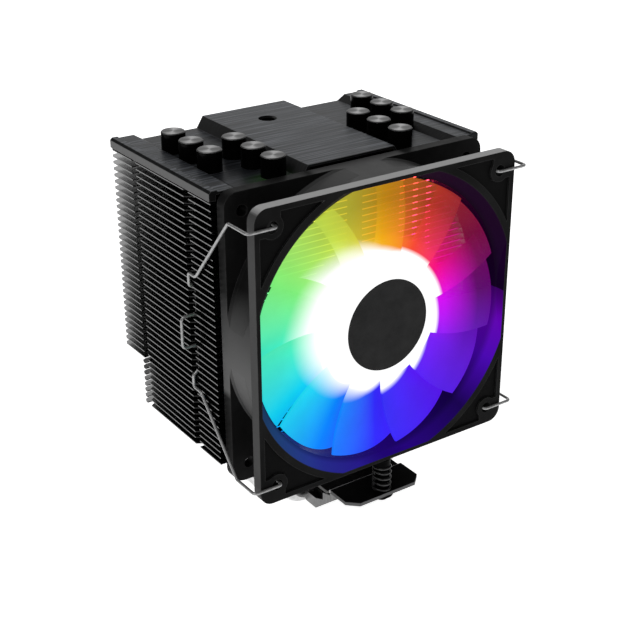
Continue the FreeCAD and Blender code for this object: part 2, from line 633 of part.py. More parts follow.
def blade(angle):
    """One swept, twisted fan blade, lofted through curved sections and turned to its angle."""
    front = size("fan_front+blade_front")
    thick = size("blade_thick")
    sections = []
    for along in (0.0, 0.35, 0.7, 1.0):
        radius = between("hub_radius-blade_root", "blade_reach", along)
        width = between("root_width", "tip_width", along)
        length = between("0.9*blade_length", "blade_length", along)
        sweep = size("sweep_ahead") * along ** 2 - size("sweep_back") * along
        bow = between("root_bow", "tip_bow", along)
        lead = Vector(radius, front, -width / 2 + sweep)
        trail = Vector(radius, front + length, width / 2 + sweep)
        normal = Vector(0, trail.z - lead.z, lead.y - trail.y).normalize()
        middle = (lead + trail) * 0.5 - normal * bow
        offset = normal * thick
        upper = Part.Arc(lead, middle, trail).toShape()
        lower = Part.Arc(trail + offset * 0.5, middle + offset, lead + offset * 0.5).toShape()
        ends = [Part.makeLine(trail, trail + offset * 0.5), Part.makeLine(lead + offset * 0.5, lead)]
        sections.append(Part.Wire([upper, ends[0], lower, ends[1]]))
    solid = Part.makeLoft(sections, True)
    solid.rotate(Vector(0, 0, 0), Vector(0, 1, 0), angle)
    solid.translate(Vector(0, 0, size("fan_centre")))
    return solid


def rotor():
    """Frosted hub cup with its blades in one piece."""
    centre = size("fan_centre")
    front = size("fan_front+hub_front")
    tip = size("blade_tip")
    along = Vector(0, 1, 0)
    cup = Part.makeCylinder(size("hub_radius"), size("hub_length"), Vector(0, front, centre), along)
    edges = [edge for edge in cup.Edges if abs(edge.CenterOfMass.y - front) < 1e-6]
    cup = cup.makeFillet(size("hub_round"), edges)
    hollow = Part.makeCylinder(size("hub_radius-hub_wall"), size("hub_length"),
                               Vector(0, front + size("hub_wall"), centre), along)
    count = int(size("blade_count"))
    blades = [blade(360.0 * number / count) for number in range(count)]
    reach = Part.makeCylinder(tip, 60, Vector(0, front - 15, centre), along)
    core = Part.makeCylinder(size("hub_radius-hub_wall/2"), 60, Vector(0, front - 15, centre), along)
    trimmed = [solid.common(reach).cut(core) for solid in blades]
    shape = cup.cut(hollow).fuse(trimmed).removeSplitter()
    return shaped("rotor", shape.Solids[0] if len(shape.Solids) == 1 else shape)


def rotor_metal():
    """Label, steel yoke, magnet ring, shaft and the clip that keeps the shaft in."""
    inside = "fan_front+hub_front+hub_wall"
    outer = "hub_radius-hub_wall-running_gap"
    inner = outer + "-yoke_wall"
    on_shaft = "shaft_radius+light_gap"
    disc("hub_label", "fan_front+hub_front-label_thick", "label_radius", "label_thick")
    yoke = disc("rotor_yoke", inside, outer, "yoke_wall", on_shaft)
    wall = sketch_on(yoke, "yoke_wall_ring", "XZ_Plane", "-(%s+yoke_wall)" % inside)
    ring(wall, "0", "fan_centre", outer)
    ring(wall, "0", "fan_centre", inner)
    pad(yoke, "yoke_wall_pad", wall, "hub_length-hub_wall-yoke_wall-board_gap", reversed_way=True)
    disc("magnet_ring", inside + "+yoke_wall+magnet_start", inner + "-light_gap", "magnet_length",
         inner + "-light_gap-magnet_wall")
    disc("rotor_shaft", inside, "shaft_radius", "shaft_length")
    disc("shaft_clip", "fan_front+fan_depth-motor_plate-clip_ring_wall-0.3",
         "shaft_radius+clip_ring_wall", "clip_ring_thick", on_shaft)


# ---------------------------------------------------------------- motor, fixed parts
def stator_core():
    """Laminated iron with four poles and pole shoes."""
    start = "fan_front+core_start"
    arm = "stator_radius-shoe_thick/2"
    hub = fan_round("core_hub", start, "core_radius", "core_length")
    arms = [box("core_arm_across", "-(%s)" % arm, start, "fan_centre-pole_half", "2*(%s)" % arm,
                "core_length", "2*pole_half"),
            box("core_arm_upright", "-pole_half", start, "fan_centre-(%s)" % arm, "2*pole_half",
                "core_length", "2*(%s)" % arm)]
    rim = cut("core_rim", fan_round("core_rim_outer", start, "stator_radius", "core_length"),
              fan_round("core_rim_inner", start + "-1", "stator_radius-shoe_thick", "core_length+2"))
    gaps = []
    for number, turn in enumerate((45, 135)):
        rotation = FreeCAD.Rotation(Vector(0, 1, 0), turn)
        corner = rotation.multVec(Vector(-size("hub_radius"), 0, -size("pole_gap/2")))
        gaps.append(box("core_gap_%d" % number, corner.x, start + "-1", "fan_centre+(%s)" % corner.z,
                        "2*hub_radius", "core_length+2", "pole_gap", rotation))
    shoes = cut("core_shoes", rim, fuse("core_gaps", gaps))
    iron = fuse("core_iron", [hub, shoes] + arms)
    bore = fan_round("core_bore", start + "-1", "tube_radius+light_gap", "core_length+2")
    return node(cut("core_bored", iron, bore), "stator_core")


def coils():
    """Four copper windings, one round each pole, as separate solids."""
    start = "fan_front+core_start-coil_over"
    deep = "core_length+2*coil_over"
    room = ("fan_front+core_start-light_gap", "core_length+2*light_gap")
    slot = "pole_half+light_gap"
    windings = []
    for side_name, low in (("plus", "coil_low"), ("minus", "-(coil_low+coil_long)")):
        lying = box(side_name + "_x_coil", low, start, "fan_centre-coil_half", "coil_long", deep,
                    "2*coil_half")
        lying_slot = box(side_name + "_x_slot", low + "-1", room[0], "fan_centre-(%s)" % slot,
                         "coil_long+2", room[1], "2*(%s)" % slot)
        upright = box(side_name + "_z_coil", "-coil_half", start, "fan_centre+(%s)" % low,
                      "2*coil_half", deep, "coil_long")
        upright_slot = box(side_name + "_z_slot", "-(%s)" % slot, room[0],
                           "fan_centre+(%s)-1" % low, "2*(%s)" % slot, room[1], "coil_long+2")
        windings.append(cut(side_name + "_x_winding", lying, lying_slot))
        windings.append(cut(side_name + "_z_winding", upright, upright_slot))
    return group("coils", windings)


def motor_board():
    """Bearing tube and sleeve, driver board, lights, and the blank label behind."""
    rear = "fan_front+fan_depth"
    board_y = rear + "-motor_plate-board_gap-board_thick"
    disc("bearing_tube", "fan_front+tube_start", "tube_radius-light_gap", "tube_length", "bearing_radius")
    disc("sleeve_bearing", "fan_front+tube_start+0.2", "bearing_radius-light_gap", "bearing_length",
         "shaft_radius+running_gap")
    disc("driver_board", board_y, "board_radius", "board_thick", "tube_radius+2*running_gap")
    lamps = []
    count = int(size("led_count"))
    for number in range(count):
        angle = 2 * math.pi * number / count
        lamps.append(box("led_%d" % number, "%.6f*led_radius-led_side/2" % math.cos(angle),
                         board_y + "-led_thick",
                         "fan_centre+%.6f*led_radius-led_side/2" % math.sin(angle),
                         "led_side", "led_thick", "led_side"))
    group("hub_leds", lamps)
    disc("rear_label", rear, "motor_radius-pole_gap/2", "sticker_thick")


# ---------------------------------------------------------------- fan clips
def clip_points(hand, side):
    """One clip's corners: in at a frame hole, back to the fins' groove, finger loop, and back."""
    centre = size("fan_centre")
    hole = size("hole_pitch/2")
    leg = size("clip_leg_x")
    groove, loop = size("clip_groove_x"), size("clip_loop_x")
    front, tip = size("clip_front"), size("clip_tip")
    elbow_y, arm_y, wire_y = size("clip_elbow_y"), size("clip_arm_y"), size("clip_wire_y")
    arm_z, hook_z, loop_z = size("clip_arm_z"), size("clip_hook_z"), size("clip_loop_z")
    low = centre - size("clip_sag")
    ends = [(leg, tip), (leg, front), (side, front), (side, elbow_y)]
    hooked = [(side, arm_y, arm_z), (side, wire_y, arm_z), (side, wire_y, hook_z),
              (groove, wire_y, hook_z - size("clip_hook_drop")), (groove, wire_y, loop_z),
              (loop, wire_y, loop_z)]
    upper = [Vector(hand * x, y, centre + hole) for x, y in ends]
    upper += [Vector(hand * x, y, low + z) for x, y, z in hooked]
    lower = [Vector(hand * x, y, low - z) for x, y, z in reversed(hooked)]
    lower += [Vector(hand * x, y, centre - hole) for x, y in reversed(ends)]
    return upper + lower


def fan_clip(label, hand, side):
    """One wire clip: a tip in each front hole of its side, arms back to the fins, a finger loop."""
    bend = size("clip_bend")
    tight = bend * 0.75
    half = [bend, bend, bend, bend * 2, tight, tight, tight, tight, bend]
    path = rounded_path(clip_points(hand, size(side)), half + half[::-1])
    return shaped(label, rod(path, size("clip_radius")))


# ---------------------------------------------------------------- build
base_block()
crossbar()
crossbar_screws()
spring_screw("front", "-")
spring_screw("rear", "")
heat_pipes()
pipe_caps()
fin_stack("fins_lower", 0, int(size("short_fins")), "fin_rear_short")
fin_stack("fins_upper", int(size("short_fins")), int(size("fin_count-short_fins")), "fin_rear")
top_plate()
fan_frame()
rotor()
rotor_metal()
stator_core()
coils()
motor_board()
fan_clip("left_fan_clip", -1, "clip_left_x")
fan_clip("right_fan_clip", 1, "clip_right_x")
doc.recompute()

for thing in doc.Objects:
    if "Invalid" in thing.State or "Error" in thing.State:
        raise ValueError("failed object: " + thing.Name)
for thing in NODES:
    if thing.Shape.isNull() or not thing.Shape.isValid():
        raise ValueError("bad shape: " + thing.Label)
    thing.Shape.exportStep("parts/%s.step" % thing.Label)
print(len(NODES), "nodes written")
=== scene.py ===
"""Looks for the processor tower cooler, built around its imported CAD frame."""
import colorsys
import math

import bpy
from mathutils import Matrix, Vector


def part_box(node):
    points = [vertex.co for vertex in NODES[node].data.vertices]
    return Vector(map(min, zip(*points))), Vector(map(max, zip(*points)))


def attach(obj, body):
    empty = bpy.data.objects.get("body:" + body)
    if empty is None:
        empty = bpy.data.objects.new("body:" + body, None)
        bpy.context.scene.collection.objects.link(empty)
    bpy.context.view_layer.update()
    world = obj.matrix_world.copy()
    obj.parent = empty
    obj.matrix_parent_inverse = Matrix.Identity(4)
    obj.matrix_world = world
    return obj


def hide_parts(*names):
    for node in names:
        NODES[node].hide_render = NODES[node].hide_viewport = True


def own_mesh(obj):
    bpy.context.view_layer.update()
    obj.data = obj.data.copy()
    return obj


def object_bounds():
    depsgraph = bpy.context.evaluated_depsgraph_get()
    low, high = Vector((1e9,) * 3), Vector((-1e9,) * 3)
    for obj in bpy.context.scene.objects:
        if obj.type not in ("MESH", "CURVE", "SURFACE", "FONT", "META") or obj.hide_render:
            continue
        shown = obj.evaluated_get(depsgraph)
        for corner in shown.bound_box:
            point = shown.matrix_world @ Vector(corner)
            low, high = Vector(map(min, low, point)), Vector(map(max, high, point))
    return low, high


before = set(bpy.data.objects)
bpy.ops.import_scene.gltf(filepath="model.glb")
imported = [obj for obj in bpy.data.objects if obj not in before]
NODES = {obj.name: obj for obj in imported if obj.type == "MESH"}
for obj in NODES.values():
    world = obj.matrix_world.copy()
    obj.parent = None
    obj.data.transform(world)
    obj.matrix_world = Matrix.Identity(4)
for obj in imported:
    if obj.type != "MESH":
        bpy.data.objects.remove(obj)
CAD_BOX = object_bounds()
MM = 0.001

# ---------------------------------------------------------------- camera, lights, floor
CAMERA_AT = Vector((-276.3, -400.3, 303.9)) * MM
CAMERA_AIM = Vector((-32.64, -48.1, 100.04)) * MM
CAMERA_ROLL = math.radians(-0.165)
CAMERA_LENS = 72.6
CAMERA_FILM = 36.0
CAMERA_NEAR = 0.01

LIGHTS_AIM = (0, 0, 0.1)
# name, place and size in metres, power in watts
LIGHTS = [("key", (-1.0, -0.2, 1.3), (0.9, 0.9), 7),
          ("front", (0.3, -1.4, 0.9), (0.8, 0.8), 2),
          ("backdrop", (0.75, 1.08, 0.75), (2.0, 1.1), 7)]
SKY_COLOUR = (1.0, 1.0, 1.0, 1.0)
SKY_STRENGTH = 0.16

FLOOR_REACH = 6.0
FLOOR_DROP = 0.0001
FLOOR_GLOW = 0.92
FLOOR_GLOW_COLOUR = (1.0, 1.0, 1.0, 1.0)
FLOOR_ROUGH = 0.8
FLOOR_TONES = (0.89, 0.91)
FLOOR_GRAIN = 3.0


def point_at(thing, place, aim, roll=0.0):
    """Stand a camera or light at a place, looking at its aim."""
    thing.location = place
    turn = (aim - place).to_track_quat("-Z", "Y").to_matrix().to_4x4()
    thing.matrix_world = Matrix.Translation(place) @ turn @ Matrix.Rotation(roll, 4, "Z")


def add_camera():
    camera = bpy.data.objects.new("camera", bpy.data.cameras.new("camera"))
    bpy.context.scene.collection.objects.link(camera)
    camera.data.lens = CAMERA_LENS
    camera.data.sensor_width = CAMERA_FILM
    camera.data.clip_start = CAMERA_NEAR
    point_at(camera, CAMERA_AT, CAMERA_AIM, CAMERA_ROLL)
    bpy.context.scene.camera = camera


def add_light(name, place, size, watts):
    lamp = bpy.data.lights.new(name, "AREA")
    lamp.shape = "RECTANGLE"
    lamp.size, lamp.size_y = size
    lamp.energy = watts
    holder = bpy.data.objects.new(name, lamp)
    bpy.context.scene.collection.objects.link(holder)
    point_at(holder, Vector(place), Vector(LIGHTS_AIM))


def add_world():
    world = bpy.data.worlds.new("studio")
    world.use_nodes = True
    sky = world.node_tree.nodes["Background"]
    sky.inputs["Color"].default_value = SKY_COLOUR
    sky.inputs["Strength"].default_value = SKY_STRENGTH
    bpy.context.scene.world = world
    bpy.context.scene.view_settings.view_transform = "Standard"


def add_floor():
    """A plain pale card under the part."""
    mesh = bpy.data.meshes.new("floor")
    level = CAD_BOX[0][2] - FLOOR_DROP
    corners = [(-1, -1), (1, -1), (1, 1), (-1, 1)]
    spots = [(FLOOR_REACH * x, FLOOR_REACH * y, level) for x, y in corners]
    mesh.from_pydata(spots, [], [(0, 1, 2, 3)])
    floor = bpy.data.objects.new("floor", mesh)
    bpy.context.scene.collection.objects.link(floor)
    look = Look("floor_card", rough=FLOOR_ROUGH, glow=FLOOR_GLOW, glow_colour=FLOOR_GLOW_COLOUR)
    grain = look.noise(look.coords(), FLOOR_GRAIN)
    look.wire(look.blend_tones(grain, *map(grey, FLOOR_TONES)), "Base Color")
    mesh.materials.append(look.mat)


# ---------------------------------------------------------------- how a material is put together
SOCKETS = {"colour": "Base Color", "rough": "Roughness", "metal": "Metallic",
           "aniso": "Anisotropic", "specular": "Specular IOR Level",
           "glow": "Emission Strength", "glow_colour": "Emission Color"}
EDGE_RAYS = 4
# the cosine between a face and its rounded self, on a flat and on a sharp edge
EDGE_COSINES = (0.995, 0.85)
# where most of a noise's values lie
NOISE_MIDDLE = (0.3, 0.7)

# noise scales are in cells per metre, and lengths in metres
PLASTIC_MOTTLE = 60.0
PLASTIC_MOTTLE_SPAN = (0.35, 0.65)
PLASTIC_PATCHES = 220.0
PLASTIC_GRAIN = 9000.0
FINE_PLASTIC_GRAIN = 4000.0
PLASTIC_ROUGH_SPREAD = (-0.05, 0.07)
PLASTIC_EDGE = 0.0005
PLASTIC_RUBBED = (2.2, 0.01)
METAL_PATCHES = 0.4
METAL_ROUGH_SPREAD = (-0.06, 0.08)

# where a face counts as looking forward: its normal's Y at the start and at the full look
FORWARD = (-0.9, -0.97)


def grey(value):
    return (value, value, value)


class Look:
    """One procedural material on Blender's principled shader."""

    def __init__(self, name, **sockets):
        self.mat = bpy.data.materials.new(name)
        self.mat.use_nodes = True
        self.tree = self.mat.node_tree
        self.shader = self.tree.nodes["Principled BSDF"]
        for key, setting in sockets.items():
            self.shader.inputs[SOCKETS[key]].default_value = setting

    def add(self, kind, **settings):
        made = self.tree.nodes.new("ShaderNode" + kind)
        for key, setting in settings.items():
            setattr(made, key, setting)
        return made

    def join(self, source, target):
        self.tree.links.new(source, target)

    def wire(self, source, socket):
        self.join(source, self.shader.inputs[socket])

    def wired(self, socket):
        """What a shader socket is fed by so far."""
        return self.shader.inputs[socket].links[0].from_socket

    def coords(self, scale=(1, 1, 1)):
        """The part's own coordinates in metres, stretched by a scale."""
        mapping = self.add("Mapping")
        mapping.inputs["Scale"].default_value = scale
        self.join(self.add("TexCoord").outputs["Object"], mapping.inputs["Vector"])
        return mapping.outputs["Vector"]

    def noise(self, vector, scale, detail=3.0, rough=0.55):
        made = self.add("TexNoise")
        made.inputs["Scale"].default_value = scale
        made.inputs["Detail"].default_value = detail
        made.inputs["Roughness"].default_value = rough
        self.join(vector, made.inputs["Vector"])
        return made.outputs["Fac"]

    def ramp(self, value, stops):
        made = self.add("ValToRGB")
        cells = made.color_ramp.elements
        while len(cells) < len(stops):
            cells.new(0.5)
        for cell, (place, colour) in zip(cells, stops):
            cell.position = place
            cell.color = (colour[0], colour[1], colour[2], 1.0)
        self.join(value, made.inputs["Fac"])
        return made.outputs["Color"]

    def blend_tones(self, noise, dark, light):
        """Two tones over the middle of a noise's range."""
        return self.ramp(noise, list(zip(NOISE_MIDDLE, (dark, light))))

    def level(self, value, low, high, out_low=0.0, out_high=1.0):
        """The first output below low, the second beyond high, and evenly between."""
        made = self.add("MapRange", clamp=True)
        self.join(value, made.inputs["Value"])
        for key, setting in zip(("From Min", "From Max", "To Min", "To Max"),
                                (low, high, out_low, out_high)):
            made.inputs[key].default_value = setting
        return made.outputs["Result"]

    def maths(self, operation, *values):
        made = self.add("Math", operation=operation)
        for slot, value in zip(made.inputs, values):
            if isinstance(value, (int, float)):
                slot.default_value = value
            else:
                self.join(value, slot)
        return made.outputs["Value"]

    def size_of(self, value):
        return self.maths("ABSOLUTE", value)

    def gap(self, value, middle):
        """How far a value is from a middle, either way."""
        return self.size_of(self.maths("SUBTRACT", value, middle))

    def length(self, first, second):
        """The length of a vector with two components."""
        squares = self.both(first, first), self.both(second, second)
        return self.maths("SQRT", self.maths("ADD", *squares))

    def both(self, *masks):
        """The product of some masks."""
        product = masks[0]
        for mask in masks[1:]:
            product = self.maths("MULTIPLY", product, mask)
        return product

    def mix(self, share, first, second, blend="MIX"):
        made = self.add("Mix", data_type="RGBA", blend_type=blend)
        slots = (made.inputs[0], made.inputs[6], made.inputs[7])
        for slot, value in zip(slots, (share, first, second)):
            if isinstance(value, (int, float)):
                slot.default_value = value
            elif isinstance(value, tuple):
                slot.default_value = (value[0], value[1], value[2], 1.0)
            else:
                self.join(value, slot)
        return made.outputs[2]

    def dim(self, colour, factor):
        """A colour multiplied by a factor."""
        return self.mix(1.0, colour, factor, "MULTIPLY")

    def split(self, vector):
        made = self.add("SeparateXYZ")
        self.join(vector, made.inputs[0])
        return made.outputs["X"], made.outputs["Y"], made.outputs["Z"]

    def facing(self):
        """Each component of the surface's normal."""
        return self.split(self.add("NewGeometry").outputs["Normal"])

    def rounded(self, radius):
        """The normal that the surface would have with its edges rounded."""
        soft = self.add("Bevel", samples=EDGE_RAYS)
        soft.inputs["Radius"].default_value = radius
        return soft.outputs["Normal"]

    def edges(self, radius):
        """1 along sharp edges, 0 on flats."""
        dot = self.add("VectorMath", operation="DOT_PRODUCT")
        self.join(self.rounded(radius), dot.inputs[0])
        self.join(self.add("NewGeometry").outputs["Normal"], dot.inputs[1])
        return self.level(dot.outputs["Value"], *EDGE_COSINES)

    def vary_rough(self, noise, rough, spread):
        """A roughness that wanders from below its middle value to above it."""
        smooth, matt = rough + spread[0], rough + spread[1]
        self.wire(self.level(noise, *NOISE_MIDDLE, smooth, matt), "Roughness")

    def bump(self, height, strength, distance, radius=None):
        made = self.add("Bump")
        made.inputs["Strength"].default_value = strength
        made.inputs["Distance"].default_value = distance
        self.join(height, made.inputs["Height"])
        if radius is not None:
            self.join(self.rounded(radius), made.inputs["Normal"])
        self.wire(made.outputs["Normal"], "Normal")


def moulded_plastic(name, dark, light, rough, grain=PLASTIC_GRAIN, specular=0.2):
    """Moulded plastic: fine grain, faint mottling, edges rubbed a little lighter."""
    look = Look(name, rough=rough, specular=specular)
    place = look.coords()
    mottle = look.noise(place, PLASTIC_MOTTLE)
    tone = look.ramp(mottle, list(zip(PLASTIC_MOTTLE_SPAN, (dark, light))))
    gain, lift = PLASTIC_RUBBED
    rubbed = tuple(min(1.0, channel * gain + lift) for channel in light)
    look.wire(look.mix(look.edges(PLASTIC_EDGE), tone, rubbed), "Base Color")
    look.vary_rough(look.noise(place, PLASTIC_PATCHES), rough, PLASTIC_ROUGH_SPREAD)
    look.bump(look.noise(place, grain, detail=2.0), strength=0.25, distance=0.00003, radius=0.0003)
    return look


def metal(name, dark, light, rough, streak=(1, 1, 1), scale=400.0):
    """Machined or drawn metal: streaks along the axis that the scale leaves long."""
    look = Look(name, metal=1.0, rough=rough)
    place = look.coords(streak)
    lines = look.noise(place, scale, detail=4.0, rough=0.6)
    look.wire(look.blend_tones(lines, dark, light), "Base Color")
    look.vary_rough(look.noise(place, scale * METAL_PATCHES), rough, METAL_ROUGH_SPREAD)
    look.bump(lines, strength=0.3, distance=0.00001)
    return look


def dress(look, *names):
    """Give CAD nodes their material."""
    for name in names:
        slots = NODES[name].data.materials
        slots.clear()
        slots.append(look.mat)


# ---------------------------------------------------------------- the fan's light
# the height of the fan's axis, in metres
FAN_Z = 0.0884
# share of a turn from +X, hue, saturation, brightness at the rim
WHEEL = [(0.0, 0.81, 1.0, 0.15), (0.083, 0.915, 1.0, 0.2), (0.167, 1.02, 0.8, 0.44),
         (0.25, 1.115, 0.92, 0.5), (0.333, 1.195, 0.66, 0.68), (0.417, 1.325, 0.5, 0.84),
         (0.5, 1.455, 0.7, 0.78), (0.583, 1.525, 0.9, 0.84), (0.667, 1.587, 0.94, 1.0),
         (0.75, 1.673, 0.82, 0.97), (0.833, 1.706, 0.88, 0.84), (0.917, 1.735, 0.88, 0.58),
         (1.0, 1.81, 1.0, 0.15)]
WHEEL_NEAR_HUB = 0.92
SCREEN_GAMMA = 2.2
# share of a turn from +X, how far from the axis the hub's white light reaches, in decimetres
GLOW_REACH = [(0.0, 0.275), (0.083, 0.265), (0.167, 0.27), (0.25, 0.305), (0.333, 0.36),
              (0.417, 0.385), (0.5, 0.36), (0.583, 0.32), (0.667, 0.31), (0.75, 0.305),
              (0.833, 0.30), (0.917, 0.29), (1.0, 0.275)]
# share of a turn from +X, how wide the edge of that light fades, in decimetres
GLOW_FADE = [(0.0, 0.02), (0.25, 0.03), (0.33, 0.09), (0.42, 0.12), (0.58, 0.12), (0.66, 0.08),
             (0.72, 0.03), (1.0, 0.02)]
DECIMETRES = 10.0
# distances from the axis in metres, from where each look starts to where it is full
HUB_LIT = (0.0302, 0.0284)
NEAR_HUB = (0.050, 0.033)
BLADE_ROOTS = (0.040, 0.031)
# the light's edge, in fade widths beyond its reach
HALO_SPAN = (0.55, -0.45)
HALO_POWER = 1.3
WHITE_LIGHT = (1.1, 1.1, 1.1)
SHIMMER_SCALE = 90.0
SHIMMER = (0.96, 1.04)
FROST_COLOUR = (0.006, 0.006, 0.007, 1.0)
FROST_GRAIN = 3000.0
# share of a turn where the blades are clearest, how far round that goes, how much they cover
CLEAREST_AT = 0.21
CLEAR_REACH = (0.10, 0.25)
CLEAR_COVER = (0.52, 0.985)


def around_fan(look):
    """Turn about the fan's axis as a share of a full turn from +X, distance from the axis, and
    both coordinates across it."""
    x, _, z = look.split(look.coords())
    z = look.maths("SUBTRACT", z, FAN_Z)
    turn = look.maths("ARCTAN2", z, x)
    share = look.maths("FRACT", look.maths("DIVIDE", turn, 2 * math.pi))
    return share, look.length(x, z), x, z


def rainbow(look, share, brightness=None):
    """The colour wheel round the fan, at its own brightness or at one given brightness."""
    stops = []
    for place, hue, depth, rim in WHEEL:
        level = rim if brightness is None else brightness
        colour = colorsys.hsv_to_rgb(hue % 1.0, depth, 1.0)
        stops.append((place, tuple(level * channel ** SCREEN_GAMMA for channel in colour)))
    return look.ramp(share, stops)


def rotor_look():
    """Frosted plastic lit from the hub: white close in, a colour wheel outside, clearer above."""
    look = Look("rotor_frosted", rough=0.6, specular=0.05, colour=FROST_COLOUR, glow=1.0)
    share, away, _, _ = around_fan(look)
    near = look.level(away, *NEAR_HUB)
    colours = look.mix(near, rainbow(look, share), rainbow(look, share, WHEEL_NEAR_HUB))
    shimmer = look.level(look.noise(look.coords(), SHIMMER_SCALE), *NOISE_MIDDLE, *SHIMMER)
    colours = look.dim(colours, shimmer)
    reach = look.ramp(share, [(place, grey(spread)) for place, spread in GLOW_REACH])
    past = look.maths("SUBTRACT", look.maths("MULTIPLY", away, DECIMETRES), reach)
    fade = look.ramp(share, [(place, grey(width)) for place, width in GLOW_FADE])
    halo = look.level(look.maths("DIVIDE", past, fade), *HALO_SPAN)
    halo = look.maths("POWER", halo, HALO_POWER)
    white = look.maths("MAXIMUM", look.level(away, *HUB_LIT), halo)
    look.wire(look.mix(white, colours, WHITE_LIGHT), "Emission Color")
    frost = look.noise(look.coords(), FROST_GRAIN, detail=2.0)
    look.bump(frost, strength=0.2, distance=0.00002)
    cover = look.level(look.gap(share, CLEAREST_AT), *CLEAR_REACH, *CLEAR_COVER)
    look.wire(look.maths("MAXIMUM", cover, look.level(away, *BLADE_ROOTS)), "Alpha")
    return look


# ---------------------------------------------------------------- the fan's frame
# each span is where a mask starts and where it is full: distances in metres, normals as cosines
DUCT_AWAY = (0.0632, 0.0620)
DUCT_INWARD = (-0.01, -0.03)
DUCT_MOUTH = (0.0582, 0.0596)
DUCT_MOUTH_LIT = (0.6, 1.0)
# painted shade: the duct's inner wall is painted darker than the rest of the frame
DUCT_SHADE_TONE = 0.001
DUCT_VIOLET = (0.12, 0.0, 1.0)
DUCT_VIOLET_SHARE = 0.6
# share of a turn where the wall is lit, then how the light falls off round it
LOW_LIT_AT, LOW_LIT = 0.70, (0.2, 0.05, 0.02, 0.24)
RIGHT_LIT_AT, RIGHT_LIT = 0.94, (0.08, 0.02, 0.0, 0.42)
POCKET_FRONT = (-0.04765, -0.0475)
POCKET_BACK = (-0.0468, -0.0469)
# painted shade: the floors of the front's corner pockets are painted darker
POCKET_SHADE_TONE = 0.004
BARREL_AWAY = (0.0640, 0.0630)
BARREL_OUTWARD = (0.02, 0.06)
BARREL_UP = (0.5, 1.0)
# painted highlight: the upward-facing top of the barrel is painted lighter
BARREL_TOP_HIGHLIGHT_TONE = 0.09
FLANK_SIDEWAYS = (0.6, 0.95)
FLANK_HEIGHT = (0.024, -0.008)
# painted reflection: the barrel's sideways faces, lower down, are painted lighter as if lit by the
# floor
FLANK_REFLECTION_TONE = 0.11
UPRIGHT_Y = (0.4, 0.2)
OUTLINE_REACH = (0.0570, 0.0578)
OUTLINE_OUTWARD = (0.01, 0.03)
RIM_DEPTH = (-0.0432, -0.0434)
RIM_UP = (0.6, 0.95)
# painted light and reflection: the front flange's outer band is painted lighter, lightest where it
# faces up
RIM_LIGHT_TONES = (0.06, 0.48)
RIM_SHEEN = 0.7


def frame_look():
    """Black moulded plastic: rims, the barrel's top and its lower sides painted lighter as
    highlight and reflection, pockets and the duct's wall painted darker as shade, and a duct wall
    lit by the rotor, painted as a glow.
    """
    look = moulded_plastic("frame_plastic", grey(0.007), grey(0.012), rough=0.55, specular=0.02)
    share, away, x, z = around_fan(look)
    _, depth, _ = look.split(look.coords())
    facing_x, facing_y, facing_z = look.facing()
    outward = look.maths("ADD", look.both(x, facing_x), look.both(z, facing_z))
    duct = look.both(look.level(away, *DUCT_AWAY), look.level(outward, *DUCT_INWARD))

    sides = look.maths("ADD", look.level(look.gap(share, LOW_LIT_AT), *LOW_LIT),
                       look.level(look.gap(share, RIGHT_LIT_AT), *RIGHT_LIT))
    strength = look.both(sides, look.level(away, *DUCT_MOUTH, *DUCT_MOUTH_LIT))
    tint = look.mix(DUCT_VIOLET_SHARE, rainbow(look, share, 1.0), DUCT_VIOLET)
    look.wire(look.dim(tint, look.both(duct, strength)), "Emission Color")
    look.shader.inputs["Emission Strength"].default_value = 1.0

    # painted shade in the corner pockets
    pocket_shade = look.both(look.level(depth, *POCKET_FRONT), look.level(facing_y, *FORWARD),
                       look.level(depth, *POCKET_BACK))
    tone = look.mix(pocket_shade, look.wired("Base Color"), grey(POCKET_SHADE_TONE))
    # painted shade inside the duct
    tone = look.mix(duct, tone, grey(DUCT_SHADE_TONE))

    barrel = look.both(look.level(away, *BARREL_AWAY), look.level(outward, *BARREL_OUTWARD))
    # painted highlight on the barrel's top
    barrel_top_highlight = look.both(barrel, look.level(facing_z, *BARREL_UP))
    tone = look.mix(barrel_top_highlight, tone, grey(BARREL_TOP_HIGHLIGHT_TONE))
    # painted reflection on the barrel's lower sides
    lit_flank = look.both(look.level(look.size_of(facing_x), *FLANK_SIDEWAYS),
                      look.level(z, *FLANK_HEIGHT))
    tone = look.mix(look.both(barrel, lit_flank), tone, grey(FLANK_REFLECTION_TONE))

    upright = look.level(look.size_of(facing_y), *UPRIGHT_Y)
    reach = look.maths("MAXIMUM", look.size_of(x), look.size_of(z))
    outline = look.both(look.level(reach, *OUTLINE_REACH), look.level(outward, *OUTLINE_OUTWARD))
    # painted light and reflection on the rim band
    rim = look.both(look.level(depth, *RIM_DEPTH), upright, outline)
    rim_light = look.dim(grey(1.0), look.level(facing_z, *RIM_UP, *RIM_LIGHT_TONES))
    look.wire(look.mix(rim, tone, rim_light), "Base Color")
    sheen = look.level(upright, 0.0, 1.0, 1.0, RIM_SHEEN)
    look.wire(look.both(look.wired("Roughness"), sheen), "Roughness")
    return look


# ---------------------------------------------------------------- the heatsink's sheets
# stretch of the brushing along each axis, then its tones from the troughs to the crests
BRUSHING = (22.0, 1100.0, 200.0)
BRUSH_TONES = [(0.36, (0.002, 0.0023, 0.003)), (0.5, (0.030, 0.034, 0.040)),
               (0.64, (0.15, 0.16, 0.18))]
BRUSH_ROUGH = (0.2, 0.8, 0.28, 0.46)
# spans in metres or as cosines, some with the share of the darker painted shade at each end
# painted shade: the valleys under the caps are painted darker
VALLEY_HEIGHT, VALLEY_SHADE_TONE = (0.1490, 0.1462, 0.0, 0.45), 0.004
# painted shade: faces that tilt away from straight up, the slopes, are painted darker
SLOPE_UP, SLOPE_SHADE_TONE = (0.97, 0.9, 0.0, 0.92), 0.010
